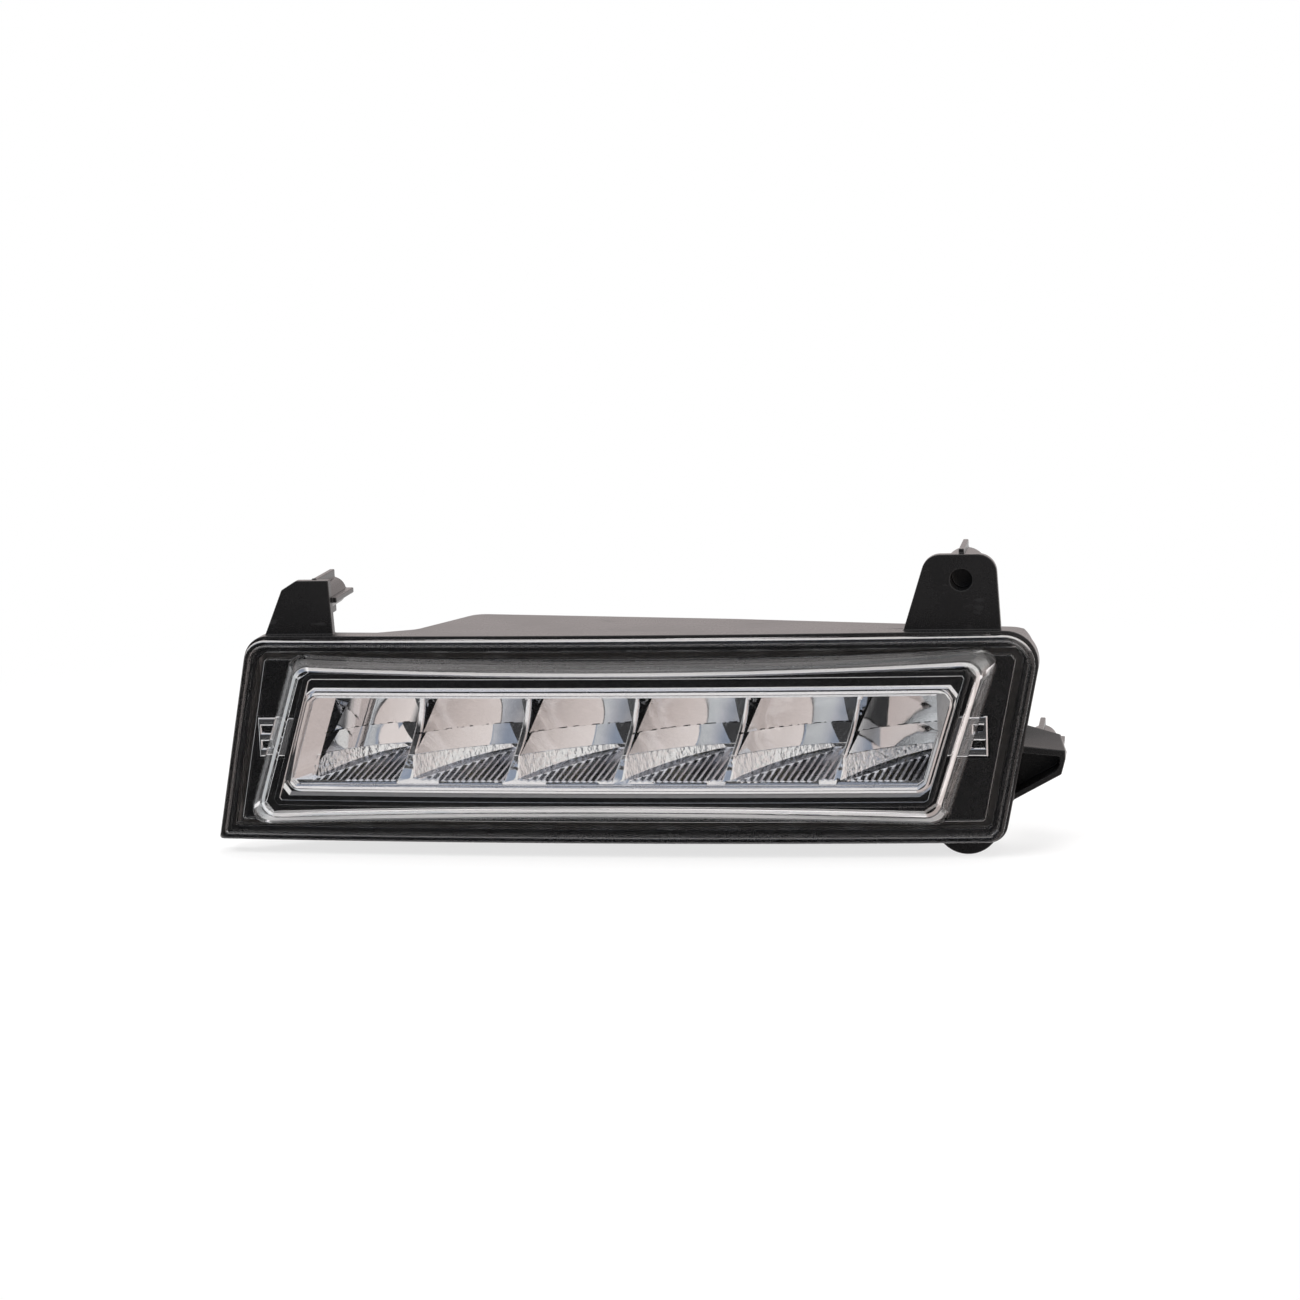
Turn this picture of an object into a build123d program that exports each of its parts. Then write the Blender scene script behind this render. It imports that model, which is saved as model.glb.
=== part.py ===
from build123d import *
import math
import os

# A six-cell daytime running light for the left front corner of a car.
# Drawing frame, in millimetres: X runs along the lamp, Y runs back from the lens and Z is up, with zero
# at the middle of the lens rim. On export everything moves so that zero is the mouth of the upper outer
# fixing bore.

# Lens rim: a leaning four-sided outline on a face that is bowed in plan
rim_length = 236.5
rim_height = 61.1
rim_lean = 11.4
rim_radius_inner_top = 7.0
rim_radius_outer_top = 9.0
rim_radius_outer_bottom = 5.0
rim_radius_inner_bottom = 1.2
least_corner = 0.8
least_round = 4.6
bow_radius = 1800.0

# Cover lens
lens_wall = 2.2
rim_bead_width = 2.0
rim_bead_rise = 0.9
plateau_length = 206.0
plateau_height = 47.4
plateau_lean = 17.2
plateau_radius = 6.5
plateau_shift_x = -1.0
plateau_shift_z = 0.5
plateau_rise = 4.4
plateau_run = 3.3
plateau_edge_flat = 0.7
tongue_wall = 2.0
tongue_inset = 4.0
tongue_depth = 3.6

# Rear housing: glue channel, land behind the clear flange, and the deep tub
housing_wall = 2.2
housing_overhang = 0.8
flange_gap = 0.3
groove_clearance = 0.4
groove_floor = 1.6
seal_depth = 1.8
channel_inner_wall = 2.0
land_thickness = 3.6
window_wall = 1.6
shelf_thickness = 2.0
shelf_width = 2.0
tub_edge_drop = 2.1
tub_front = 9.0
tub_inner_end = 113.0
tub_outer_end = 117.6
tub_shoulder_x = 91.0
tub_shoulder_y = 25.0
tub_step_x = 73.0
tub_step_y = 34.0
tub_deep_x = 60.2
tub_deep_y = 62.0
tub_middle_x = 22.7
tub_middle_y = 49.0
tub_outer_x = 110.0
tub_outer_y = 31.0
tub_end_y = 22.0
tub_side_inset = 0.6
tub_mouth = 4.8
top_relief_x = 9.0
top_relief_length = 27.0
top_relief_width = 5.0
top_relief_depth = 0.8
tub_corner_round = 5.0
rib_wall = 1.6
rib_rise = 2.6
rib_margin = 7.0
rib_places = (-48.0, -30.0, 32.0, 84.0)

# Fixing tabs and their finned screw bosses
tab_front = 9.0
tab_wall = 3.0
boss_tube_radius = 4.2
boss_bore_radius = 2.1
boss_bore_depth = 14.0
boss_length = 20.0
fin_wall = 1.6
fin_rise = 2.3
upper_outer_x = 101.3
upper_outer_z = 46.0
upper_outer_tube_radius = 6.3
upper_outer_tab_base = 29.3
upper_outer_tab_top = 20.0
upper_outer_tab_height = 53.4
upper_outer_tab_round = 5.5
upper_outer_tab_skew = 0.85
upper_outer_recess_radius = 3.2
upper_outer_recess_depth = 7.0
upper_inner_x = -92.3
upper_inner_z = 41.2
upper_inner_tab_base = 21.6
upper_inner_tab_top = 10.0
upper_inner_tab_height = 47.6
upper_inner_chamfer = 4.6
upper_inner_chamfer_fall = 2.8
upper_inner_tab_spread = 0.8
side_boss_x = 122.6
side_boss_z = -8.0
side_pocket_front = 13.0
side_pocket_back = 24.0
side_pocket_reach = 12.7
side_pocket_nose = 1.2
side_pocket_taper = 1.8
side_pocket_top = -3.4
side_pocket_climb = 5.3
side_pocket_corner = -12.3
side_pocket_low = -21.0
side_pocket_wall = 1.8
pad_x = 101.9
pad_z = -25.7
pad_radius = 9.6
pad_depth = 9.0

# Reflector: chrome lip, six cells and an end lug on each side
opening_length = 189.6
opening_height = 26.2
opening_radius = 2.4
opening_shift_x = -1.6
opening_shift_z = -0.3
lip_width = 2.4
lip_front = 3.4
lip_thickness = 2.2
carrier_thickness = 1.8
carrier_clearance = 0.3
cell_count = 6
cell_pitch = 32.6
cell_lean = 18.0
first_divider_x = -63.2
divider_front = 1.3
divider_turn = 13.0
divider_hollow = 3.0
cell_depth = 20.0
cell_wall = 1.8
strip_width_top = 3.6
strip_width_bottom = 1.9
strip_slope = 2.2
end_facet_width = 6.0
end_facet_slope = 0.45
mirror_sag = 1.3
throat_width = 6.4
band_upper_z = 1.4
band_lower_z = -5.0
band_tilt = 1.6
foot_pull = 4.5
floor_back_z = -6.6
floor_rise = 6.0
ceiling_wall = 2.0
flute_pitch = 2.0
flute_margin = 1.2
flute_depth = 0.35
lug_reach = 6.6
lug_height = 12.4
lug_thickness = 1.7
lug_shift_z = 0.6
lug_bar = 3.0
lug_clearance = 0.25
lug_slot_start = 1.6
snap_root = 0.5
snap_sink = 0.2

# Inner bezel
bezel_inset = 3.5
bezel_front = 0.5
bezel_wall = 1.5
bezel_step_inset = 5.4
bezel_step = 1.2
bezel_lap = 0.4

# LED board, heat sink and what they carry
board_thickness = 1.6
board_gap = 0.2
board_front = 13.2
board_width = 10.6
board_margin = 8.0
board_tail_length = 40.0
board_tail_depth = 20.0
board_tail_x = 5.0
led_offset_x = 21.5
led_offset_y = 12.0
led_size = 3.5
led_base = 0.6
led_pad_size = 2.6
led_pad_rise = 0.5
led_window = 6.5
pad_thickness = 0.5
sink_base = 2.0
sink_fin_rise = 4.6
sink_fin_wall = 1.1
sink_fin_count = 4
screw_radius = 1.25
screw_head_radius = 2.4
screw_head_height = 1.6
screw_length = 9.0
screw_post = 4.6
screw_head_room = 0.9
screw_dividers = (0, 4)
screw_offset_x = 6.1
screw_offset_y = 15.0
chip_size = (7.0, 5.0, 1.4)
chip_place = (0.16, 0.35)
choke_size = 8.0
choke_height = 4.2
choke_corner = 1.6
choke_place = (0.44, 0.3)
capacitor_size = (4.3, 7.3, 2.9)
capacitor_places = ((0.68, 0.3), (0.86, 0.3))

# Socket in the back wall, its pins, and the vent
socket_width = 17.0
socket_height = 13.0
socket_shift = 1.2
socket_wall = 1.6
socket_depth = 12.0
socket_floor = 2.0
pin_count = 3
pin_pitch = 3.6
pin_width = 0.8
pin_tail = 14.0
pin_reach = 8.5
pin_clearance = 0.03
latch_width = 5.0
latch_rise = 1.6
latch_length = 2.0
latch_setback = 3.0
vent_x = 52.0
vent_z = -4.0
vent_width = 7.0
vent_wall = 1.5
vent_length = 6.0
cap_wall = 1.5
cap_clearance = 0.05
cap_skirt = 4.2
cap_notch = 1.5

# Worked out from the sizes above
half_rim = rim_height / 2
wall_turn = math.tan(math.radians(divider_turn))
flat_share = 2 - math.sqrt(2)
rim_slope = math.tan(math.radians(rim_lean))
cell_slope = math.tan(math.radians(cell_lean))
lens_back = rim_bead_rise + lens_wall
housing_front = lens_back + flange_gap
groove_depth = tongue_depth + seal_depth
channel_back = lens_back + groove_depth + groove_floor
channel_inset = tongue_inset + tongue_wall + groove_clearance + channel_inner_wall
carrier_front = lip_front + lip_thickness
shelf_front = carrier_front + carrier_thickness
shelf_back = shelf_front + shelf_thickness
opening_top = opening_shift_z + opening_height / 2
opening_bottom = opening_shift_z - opening_height / 2
tub_top = half_rim - tub_edge_drop
cell_front = lip_front + lip_thickness / 2
ceiling_top = opening_top + ceiling_wall
board_bottom = ceiling_top + board_gap
board_top = board_bottom + board_thickness
sink_bottom = board_top + pad_thickness
sink_top = sink_bottom + sink_base
reach = rim_length


def lean_at(z, slope):
    """Sideways shift of a leaning edge at height z."""
    return z * slope


def bow_at(x):
    """How far the bowed lens face lies back of its middle at x."""
    return bow_radius - math.sqrt(bow_radius**2 - x**2)


def leaning_corners(length, height, lean, centre, inset):
    """Corners of a leaning four-sided outline moved in by inset, from the inner top round by the outer top."""
    half_length = length / 2 - inset / math.cos(math.radians(lean))
    half_height = height / 2 - inset
    shift = half_height * math.tan(math.radians(lean))
    corners = [
        (-half_length + shift, half_height),
        (half_length + shift, half_height),
        (half_length - shift, -half_height),
        (-half_length - shift, -half_height),
    ]
    return [(x + centre[0], z + centre[1]) for x, z in corners]


def leaning_face(corners, radii, inset, rounded):
    """The outline's face in the XZ plane: large corners are round, small and hidden ones are a flat."""
    face = make_face(Polyline(*corners, close=True))
    for corner, radius in zip(corners, radii):
        near = face.vertices().sort_by_distance((*corner, 0))[0]
        left = max(radius - inset, least_corner)
        if rounded and left > least_round:
            face = fillet(near, left)
        else:
            face = chamfer(near, left * flat_share)
    return Plane.XZ * face


def rim_face(inset=0.0, rounded=True):
    radii = (rim_radius_inner_top, rim_radius_outer_top, rim_radius_outer_bottom, rim_radius_inner_bottom)
    return leaning_face(leaning_corners(rim_length, rim_height, rim_lean, (0, 0), inset), radii, inset, rounded)


def plateau_corners(inset):
    centre = (plateau_shift_x, plateau_shift_z)
    return leaning_corners(plateau_length, plateau_height, plateau_lean, centre, inset)


def plateau_face(inset=0.0, rounded=True):
    return leaning_face(plateau_corners(inset), [plateau_radius] * 4, inset, rounded)


def opening_face(inset=0.0, rounded=True):
    centre = (opening_shift_x, opening_shift_z)
    corners = leaning_corners(opening_length, opening_height, plateau_lean, centre, inset)
    return leaning_face(corners, [opening_radius] * 4, inset, rounded)


def bowed_slab(front, back):
    """A tall slab between two surfaces that follow the lens's bow at depths front and back."""

    def arc(depth):
        end = depth + bow_at(reach)
        return ThreePointArc((-reach, end), (0, depth), (reach, end))

    near, far = arc(front), arc(back)
    face = make_face([near, Line(near @ 1, far @ 1), far, Line(far @ 0, near @ 0)])
    return Pos(0, 0, -reach) * extrude(face, amount=2 * reach)


def straight_prism(face, front, back):
    """The face carried straight back from depth front to depth back."""
    return extrude(Pos(0, front, 0) * face, amount=back - front, dir=(0, 1, 0))


def bowed_prism(face, front, back):
    """The face's prism between two bowed surfaces."""
    margin = bow_at(reach)
    return straight_prism(face, front - margin, back + margin) & bowed_slab(front, back)


def block(low, high):
    """A box between two corners."""
    size = [b - a for a, b in zip(low, high)]
    return Pos(*low) * Box(*size, align=(Align.MIN, Align.MIN, Align.MIN))


def rod(radius, x, z, y_low, y_high):
    """A round bar along Y."""
    return extrude(Pos(x, y_low, z) * (Plane.XZ * Circle(radius)), amount=y_high - y_low, dir=(0, 1, 0))


def upright_rod(radius, x, y, z_low, z_high):
    """A round bar along Z."""
    return extrude(Pos(x, y, z_low) * Circle(radius), amount=z_high - z_low)


def solid_between(near, far, folded=False):
    """A solid between two outlines of as many points: each side is one flat, or two when folded."""
    sides = []
    for i in range(len(near)):
        if folded:
            sides += [[near[i - 1], near[i], far[i]], [near[i - 1], far[i], far[i - 1]]]
        else:
            sides.append([near[i - 1], near[i], far[i], far[i - 1]])
    return Solid(Shell([make_face(Polyline(*ring, close=True)).face() for ring in (near, far, *sides)]))


def plateau_frustum(wall, front, back):
    """The plateau's sloping sides, moved in by wall, cut between two bowed surfaces: round corners outside."""
    slope = plateau_run / plateau_rise
    inward = wall * math.hypot(1, slope)
    side_extent = plateau_rise + lens_back
    ends = []
    for depth in (-side_extent, side_extent):
        corners = plateau_corners(inward - slope * (depth - rim_bead_rise))
        ends.append([(x, depth, z) for x, z in corners])
    sides = solid_between(*ends)
    slanted = [edge for edge in sides.edges() if abs(edge.position_at(0).Y - edge.position_at(1).Y) > side_extent]
    corner = plateau_radius - wall
    eased = chamfer(slanted, corner * flat_share) if wall else fillet(slanted, corner)
    return eased & bowed_slab(front, back)


def make_cover_lens():
    """Clear moulding: flange with a raised bead, plateau with sloping sides, and a tongue for the groove."""
    plate = bowed_prism(rim_face(), rim_bead_rise, lens_back)
    bead = bowed_prism(rim_face() - rim_face(rim_bead_width), 0, lens_back)
    front = rim_bead_rise - plateau_rise
    outer = plateau_frustum(0, front, lens_back)
    face_edges = outer.faces().filter_by(GeomType.CYLINDER).sort_by(Axis.Y)[0].edges()
    outer = chamfer(face_edges, plateau_edge_flat)
    inner = plateau_frustum(lens_wall, front + lens_wall, lens_back)
    tongue_ring = rim_face(tongue_inset, False) - rim_face(tongue_inset + tongue_wall, False)
    tongue = bowed_prism(tongue_ring, lens_back, lens_back + tongue_depth)
    return plate + bead + outer - inner + tongue


def groove_ring():
    inset = tongue_inset - groove_clearance
    return rim_face(inset, False) - rim_face(tongue_inset + tongue_wall + groove_clearance, False)


def make_lens_seal():
    """Sealing bead in the foot of the groove, under the lens's tongue."""
    front = lens_back + tongue_depth
    return bowed_prism(groove_ring(), front, front + seal_depth)


def tub_plan():
    """Plan outline of the tub at mid height: a shallow shoulder, a step, then deep beside it."""
    return make_face(
        Polyline(
            (-tub_inner_end, tub_front),
            (-tub_inner_end, channel_back + bow_at(tub_inner_end) - groove_floor / 2),
            (-tub_shoulder_x, tub_shoulder_y),
            (-tub_step_x, tub_step_y),
            (-tub_deep_x, tub_deep_y),
            (tub_middle_x, tub_middle_y),
            (tub_outer_x, tub_outer_y),
            (tub_outer_end, tub_end_y),
            (tub_outer_end, tub_front),
            close=True,
        )
    )


def lean_extrude(face, z_low, z_high, slope):
    """A plan face carried up from z_low to z_high along a leaning line."""
    height = z_high - z_low
    start = Pos(lean_at(z_low, slope), 0, z_low) * face
    return extrude(start, amount=height * math.hypot(1, slope), dir=(slope, 0, 1))


def tub_back_at(x):
    """Depth of the tub's back wall at mid height."""
    line = [
        (-tub_deep_x, tub_deep_y),
        (tub_middle_x, tub_middle_y),
        (tub_outer_x, tub_outer_y),
        (tub_outer_end, tub_end_y),
    ]
    for (x0, y0), (x1, y1) in zip(line, line[1:]):
        if x <= x1:
            return y0 + (y1 - y0) * (x - x0) / (x1 - x0)
    return tub_end_y


def tub_hollow():
    """The tub's inside, open to the front."""
    plan = offset(tub_plan(), -housing_wall, kind=Kind.INTERSECTION)
    low_x, high_x = -tub_inner_end + housing_wall, tub_outer_end - housing_wall
    mouth = Pos((low_x + high_x) / 2, tub_front) * Rectangle(high_x - low_x, tub_mouth)
    top = tub_top - housing_wall
    sides = straight_prism(rim_face(tub_side_inset + housing_wall, False), 0, 2 * tub_deep_y)
    return lean_extrude(plan + mouth, -top, top, rim_slope) & sides


def make_tub():
    """The deep back of the housing with its stiffening ribs, open to the front."""
    plan = tub_plan()
    outer = lean_extrude(plan, -tub_top, tub_top, rim_slope)
    long_edges = outer.edges().filter_by(lambda edge: abs(edge.tangent_at(0.5).Z) > 0.9)
    outer = fillet(long_edges.sort_by(Axis.Y)[-6:], tub_corner_round)
    outer &= straight_prism(rim_face(tub_side_inset), 0, 2 * tub_deep_y)
    ribs = lean_extrude(offset(plan, rib_rise, kind=Kind.INTERSECTION), -tub_top + rib_margin,
                        tub_top - rib_margin, rim_slope)
    behind = block((-reach, tub_shoulder_y, -reach), (reach, reach, reach))
    for x in rib_places:
        strip = lean_extrude(Pos(x, 0) * Rectangle(rib_wall, 2 * reach), -tub_top, tub_top, rim_slope)
        outer += ribs & strip & behind
    relief_y = channel_back + bow_at(top_relief_x) + top_relief_width
    relief = Rectangle(top_relief_length, top_relief_width)
    relief = chamfer(relief.vertices(), top_relief_width / 3)
    relief = Pos(top_relief_x, relief_y, tub_top - top_relief_depth) * relief
    relief = extrude(relief, amount=2 * top_relief_depth)
    return outer - relief - tub_hollow()


def finned_boss(x, z, front, tube_radius, fins=4):
    """A screw boss that points back from a tab, stiffened by radial fins."""
    back = front + boss_length
    boss = rod(tube_radius, x, z, front, back)
    for index in range(fins):
        fin = block((0, front, -fin_wall / 2), (tube_radius + fin_rise, back, fin_wall / 2))
        boss += Pos(x, 0, z) * Rot(0, 360 / fins * index, 0) * fin
    return boss


def boss_bore(x, z, front):
    back = front + boss_length
    return rod(boss_bore_radius, x, z, back - boss_bore_depth, back)


def upright_tab(points, rounds):
    """A flat tab in the XZ plane, drawn by its corners, with the named corners rounded."""
    face = make_face(Polyline(*points, close=True))
    for corner, radius in rounds:
        near = face.vertices().sort_by_distance((*corner, 0))[0]
        face = fillet(near, radius)
    return straight_prism(Plane.XZ * face, tab_front, tab_front + tab_wall)


def make_upper_outer_tab():
    base_z = half_rim - tub_edge_drop
    left = upper_outer_x - upper_outer_tab_top / 2
    right = upper_outer_x + upper_outer_tab_top / 2
    flare = upper_outer_tab_base - upper_outer_tab_top
    top_left, top_right = (left, upper_outer_tab_height), (right, upper_outer_tab_height)
    inner_foot = (left - upper_outer_tab_skew * flare, base_z)
    outer_foot = (right + (1 - upper_outer_tab_skew) * flare, base_z)
    points = [inner_foot, top_left, top_right, outer_foot]
    tab = upright_tab(points, [(top_left, upper_outer_tab_round), (top_right, upper_outer_tab_round)])
    front = tab_front + tab_wall
    tab += finned_boss(upper_outer_x, upper_outer_z, front, upper_outer_tube_radius)
    recess_floor = tab_front + upper_outer_recess_depth
    recess = rod(upper_outer_recess_radius, upper_outer_x, upper_outer_z, tab_front, recess_floor)
    return tab - recess - boss_bore(upper_outer_x, upper_outer_z, front)


def make_upper_inner_tab():
    base_z = half_rim - tub_edge_drop
    right = upper_inner_x + upper_inner_tab_top / 2
    left = right - upper_inner_tab_top
    points = [
        (right - upper_inner_tab_base, base_z),
        (left - upper_inner_chamfer, upper_inner_tab_height - upper_inner_chamfer_fall),
        (left, upper_inner_tab_height),
        (right, upper_inner_tab_height),
        (right + upper_inner_tab_spread, base_z),
    ]
    tab = upright_tab(points, [])
    front = tab_front + tab_wall
    tab += finned_boss(upper_inner_x, upper_inner_z, front, boss_tube_radius)
    return tab - boss_bore(upper_inner_x, upper_inner_z, front)


def side_outline(inset, depth):
    """Corners of the side bracket at one depth: its top climbs towards the back."""
    climb = side_pocket_climb * (depth - side_pocket_front) / (side_pocket_back - side_pocket_front)
    root = tub_outer_end - 2 * housing_wall
    end = tub_outer_end + side_pocket_reach - inset
    top = side_pocket_top - inset
    points = [
        (root, top + climb),
        (end - climb / 3, top + climb / 2 - side_pocket_taper),
        (end, top - side_pocket_taper - side_pocket_climb / 2),
        (end - side_pocket_nose, side_pocket_corner + inset / 2),
        (root, side_pocket_low + inset),
    ]
    return [(x, depth, z) for x, z in points]


def make_side_bracket():
    """Open-fronted pocket at the outer end with a climbing top, and a finned boss behind it."""

    def body(inset, front, back):
        return solid_between(side_outline(inset, front), side_outline(inset, back), folded=True)

    shell = body(0, side_pocket_front, side_pocket_back)
    hollow = body(side_pocket_wall, side_pocket_front - 1, side_pocket_back - side_pocket_wall)
    boss = finned_boss(side_boss_x, side_boss_z, side_pocket_back, boss_tube_radius)
    return shell - hollow + boss - boss_bore(side_boss_x, side_boss_z, side_pocket_back)


def make_socket():
    """Walls of the plug socket on the back wall, with a latch rib on top."""
    x, z, bulkhead = board_tail_x, socket_z(), socket_bulkhead()
    back = bulkhead + socket_floor + socket_depth
    low = (x - socket_width / 2, bulkhead, z - socket_height / 2)
    high = (x + socket_width / 2, back, z + socket_height / 2)
    shell = block(low, high)
    latch_back = back - latch_setback
    latch_low = (x - latch_width / 2, latch_back - latch_length, high[2])
    latch_high = (x + latch_width / 2, latch_back, high[2] + latch_rise)
    return shell + block(latch_low, latch_high)


def pin_z():
    return board_top + pin_width / 2


def socket_z():
    """Middle of the socket, a little above its pins."""
    return pin_z() + socket_shift


def socket_bulkhead():
    """Depth of the socket's floor, just inside the back wall."""
    return tub_back_at(board_tail_x) - housing_wall


def socket_cavity():
    x, z = board_tail_x, socket_z()
    front = socket_bulkhead() + socket_floor
    wide, tall = socket_width / 2 - socket_wall, socket_height / 2 - socket_wall
    return block((x - wide, front, z - tall), (x + wide, front + 2 * socket_depth, z + tall))


def pin_bars(clearance=0.0):
    """Square terminal pins, from the board's tail through the back wall into the socket."""
    half = pin_width / 2 + clearance
    wall = socket_bulkhead()
    bars = []
    for index in range(pin_count):
        x = board_tail_x + (index - (pin_count - 1) / 2) * pin_pitch
        low = (x - half, wall - pin_tail, pin_z() - half)
        high = (x + half, wall + socket_floor + pin_reach, pin_z() + half)
        bars.append(block(low, high))
    return bars


def lug_span(side, inset=0.0):
    """Lowest and highest corners of an end lug in the XZ plane, side -1 for the inner end, 1 for the outer."""
    base = plateau_shift_x + side * plateau_length / 2
    tip = base + side * lug_reach
    low_x, high_x = sorted((base - side * (bezel_inset + lip_width + lug_bar), tip - side * inset))
    low_z = lug_shift_z - lug_height / 2 + inset
    return (low_x, low_z), (high_x, lug_shift_z + lug_height / 2 - inset)


def lug_windows(side, clearance=0.0):
    """The two slots of an end lug, through which the housing's snap tongues stand."""
    base = plateau_shift_x + side * plateau_length / 2
    tip = base + side * lug_reach
    low_x, high_x = sorted((base + side * lug_slot_start, tip - side * lug_bar / 2))
    slot = (lug_height - 3 * lug_bar) / 2
    windows = []
    for index in range(2):
        low_z = lug_shift_z - lug_height / 2 + lug_bar + index * (slot + lug_bar)
        windows.append((low_x + clearance, high_x - clearance, low_z + clearance, low_z + slot - clearance))
    return windows


def lug_depth(side):
    """Depth of a lug's front face at its end of the bowed face."""
    return housing_front + lug_clearance + bow_at(plateau_length / 2)


def make_front_frame():
    """Glue channel, land behind the clear flange, window wall and the shelf that carries the reflector."""
    channel = bowed_prism(rim_face(-housing_overhang) - rim_face(channel_inset, False), housing_front,
                          channel_back)
    window_inset = bezel_inset - 2 * carrier_clearance
    window = plateau_face(window_inset, False) + opening_face(-lip_width - carrier_clearance, False)
    surround = plateau_face(window_inset - window_wall, False)
    land = bowed_prism(rim_face(channel_inset - channel_inner_wall / 2, False) - window, housing_front,
                       housing_front + land_thickness)
    wall = bowed_prism(surround - window, housing_front, shelf_back)
    throat = plateau_face(window_inset + shelf_width, False) + opening_face(-cell_wall - carrier_clearance, False)
    shelf = bowed_prism(surround - throat, shelf_front, shelf_back)
    return channel + land + wall - bowed_prism(window, 0, shelf_back) + shelf


def make_rear_housing():
    """One black moulding: front frame, tub, tabs, socket and vent stub."""
    housing = make_tub() + make_front_frame() + make_socket()
    housing += make_upper_outer_tab() + make_upper_inner_tab()
    pad = rod(pad_radius, pad_x, pad_z, tab_front, tab_front + pad_depth)
    housing += (pad + make_side_bracket()) - tub_hollow()
    vent_base = tub_back_at(vent_x)
    housing += square_bar(vent_width, vent_base - housing_wall, vent_base + vent_length)
    bore = vent_width - 2 * vent_wall
    housing -= square_bar(bore, vent_base - 4 * housing_wall, vent_base + 2 * vent_length)
    housing -= bowed_prism(groove_ring(), housing_front - 1, lens_back + groove_depth)
    housing -= socket_cavity()
    for bar in pin_bars(pin_clearance):
        housing -= bar
    for side in (-1, 1):
        front = lug_depth(side)
        (low_x, low_z), (high_x, high_z) = lug_span(side, -lug_clearance)
        housing -= block((low_x, front - lug_thickness, low_z), (high_x, front + lug_thickness, high_z))
        for x0, x1, z0, z1 in lug_windows(side, lug_clearance):
            housing += block((x0, front + snap_sink, z0), (x1, front + lug_thickness + snap_root, z1))
    return housing


def square_bar(width, y_low, y_high):
    """A square bar along Y on the vent's axis."""
    half = width / 2
    return block((vent_x - half, y_low, vent_z - half), (vent_x + half, y_high, vent_z + half))


def make_vent_cap():
    """Rubber cap over the vent stub, with notches in its skirt so that the lamp can breathe."""
    stub_end = tub_back_at(vent_x) + vent_length
    inner = vent_width + 2 * cap_clearance
    outer = inner + 2 * cap_wall
    skirt = stub_end - cap_skirt
    cap = square_bar(outer, skirt, stub_end + cap_wall)
    cap = chamfer(cap.edges().filter_by(Axis.Y) + cap.faces().sort_by(Axis.Y)[-1].edges(), cap_wall / 2)
    cap -= square_bar(inner, skirt, stub_end)
    notch = block((-outer, skirt, -cap_notch / 2), (outer, skirt + cap_notch, cap_notch / 2))
    return cap - Pos(vent_x, 0, vent_z) * notch


def divider_x(index):
    """X of a divider's front edge at mid height: 0 stands between the first and second cells."""
    return first_divider_x + index * cell_pitch


def cell_left(index):
    """X of a cell's left front edge at mid height."""
    if index == 0:
        return opening_shift_x - opening_length / 2
    return divider_x(index - 1) + divider_front / 2


def cell_right(index):
    if index == cell_count - 1:
        return opening_shift_x + opening_length / 2
    return divider_x(index) - divider_front / 2


def cell_front_at(index):
    """Depth of a cell's front edge, on the bowed face."""
    return cell_front + bow_at((cell_left(index) + cell_right(index)) / 2)


def strip_at(z):
    """Width of the steep strip beside a divider, which narrows towards the floor."""
    share = (z - opening_bottom) / opening_height
    return strip_width_bottom + (strip_width_top - strip_width_bottom) * share


def strip_start(index):
    """Where a cell's steep strip starts, in plan: in the first cell a shallow end facet lies before it."""
    left, front = cell_left(index), cell_front_at(index)
    if index == 0:
        return Vector(left + end_facet_width, front + end_facet_width * end_facet_slope)
    return Vector(left, front)


def cell_plan(index):
    """Plan of a cell without its mirror: steep strip at the left, back, and a wall that turns right."""
    left, right, front = cell_left(index), cell_right(index), cell_front_at(index)
    strip = strip_start(index)
    back = front + cell_depth
    points = [
        (strip.X, strip.Y),
        (strip.X + (back - strip.Y) / strip_slope, back),
        (right + cell_depth * wall_turn, back),
        (right, front),
    ]
    if index == 0:
        points.append((left, front))
    return make_face(Polyline(*points, close=True))


def end_facet_plan():
    """Plan of what the first cell's shallow end facet cuts away in front of it."""
    left, front = cell_left(0), cell_front_at(0)
    far = strip_start(0)
    return make_face(Polyline((left, front), (far.X, far.Y), (2 * far.X - left, front), close=True))


def mirror_ends(index, strip):
    """Where a cell's mirror leaves the strip and where it meets the back, in plan."""
    left, front = cell_left(index), cell_front_at(index)
    start = strip_start(index) + Vector(strip, strip * strip_slope)
    return start, Vector(left + cell_pitch - divider_front - throat_width, front + cell_depth)


def mirror_bar(index, z, deeper, tilt):
    """A round bar along the cell's lean, whose side passes through both ends of the mirror at height z."""
    shift = Vector(lean_at(z, cell_slope), deeper, z)
    start, end = [point + shift for point in mirror_ends(index, strip_at(z))]
    axis = Plane(origin=(start + end) / 2, x_dir=(1, 0, -cell_slope), z_dir=(cell_slope, tilt, 1))
    half = axis.to_local_coords(end)
    half_chord = math.hypot(half.X, half.Y)
    radius = mirror_sag / 2 + half_chord**2 / (2 * mirror_sag)
    away = (radius - mirror_sag) / half_chord
    return axis * Pos(half.Y * away, -half.X * away, 0) * Cylinder(radius, 4 * cell_depth)


def cell_band(index, z_low, z_high, deeper_low, deeper_high):
    """One tilted band of a cell: its plan carried up along the lean, as far back as the mirror."""
    tilt = (deeper_high - deeper_low) / (z_high - z_low)
    mirror = mirror_bar(index, (z_low + z_high) / 2, (deeper_low + deeper_high) / 2, tilt)
    band = lean_extrude(cell_plan(index), z_low, z_high, cell_slope) & mirror
    if index == 0:
        band += lean_extrude(end_facet_plan(), z_low, z_high, cell_slope)
    return band


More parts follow.
